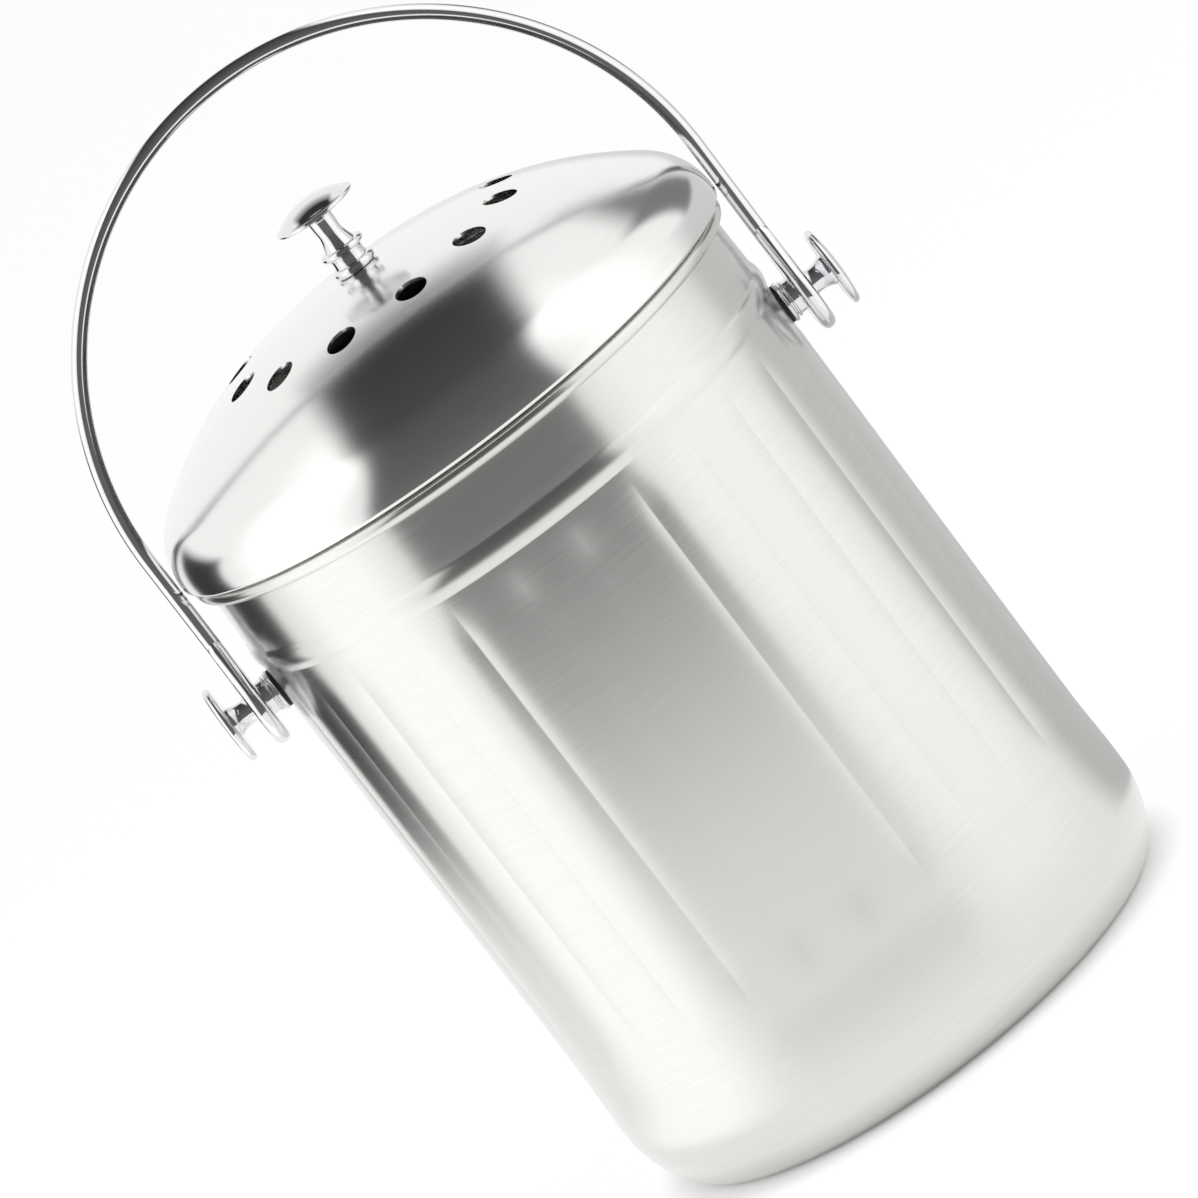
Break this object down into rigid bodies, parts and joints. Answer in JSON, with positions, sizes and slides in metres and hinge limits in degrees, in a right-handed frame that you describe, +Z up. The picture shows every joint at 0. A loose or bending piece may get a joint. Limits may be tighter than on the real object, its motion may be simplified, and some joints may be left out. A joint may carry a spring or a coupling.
{
  "type": "compost pail",
  "caption": "Ribbed metal kitchen compost pail with a swinging bail handle and a domed lift-off lid with vent holes, a turned knob and a carbon filter.",
  "frame": {"origin": "on the table under the middle of the pail", "axes": "+Z up along the pail's axis; X along the bail's pivot axis; -Y is the front that the picture shows"},
  "size_m": [0.196, 0.1688, 0.3043],
  "materials": {
    "pail_sheet": "brushed sheet, grain running round the pail",
    "lid_sheet": "brushed sheet, grain running round the dome",
    "polished_rod": "polished rod with flat paddle ends",
    "polished_turning": "turned and polished",
    "zinc_fastener": "plain zinc-coated fastener",
    "black_gasket": "soft black rubber",
    "tray_plastic": "matt dark plastic",
    "charcoal_felt": "soft black felt"
  },
  "bodies": {
    "pail": {"pail_shell": "pail_sheet", "left_pivot_gasket": "black_gasket", "right_pivot_gasket": "black_gasket", "left_pivot_collar": "polished_turning", "right_pivot_collar": "polished_turning", "left_pivot_knob": "polished_turning", "right_pivot_knob": "polished_turning", "left_pivot_screw": "zinc_fastener", "right_pivot_screw": "zinc_fastener", "left_inner_washer": "zinc_fastener", "right_inner_washer": "zinc_fastener"},
    "bail": {"bail_handle": "polished_rod"},
    "lid": {"lid_dome": "lid_sheet", "lid_skirt": "lid_sheet", "lid_knob": "polished_turning", "lid_knob_screw": "zinc_fastener", "lid_knob_washer": "zinc_fastener", "filter_tray": "tray_plastic", "charcoal_filter": "charcoal_felt", "filter_clips": "lid_sheet"}
  },
  "joints": [
    {"name": "bail_swing", "type": "hinge", "parent": "pail", "child": "bail", "pos_m": [0, 0, 0.169], "axis": [1, 0, 0], "range_deg": [-141, 141]},
    {"name": "lid_lift", "type": "slide", "parent": "pail", "child": "lid", "axis": [0, 0, 1], "range_m": [0, 0.014]}
  ]
}
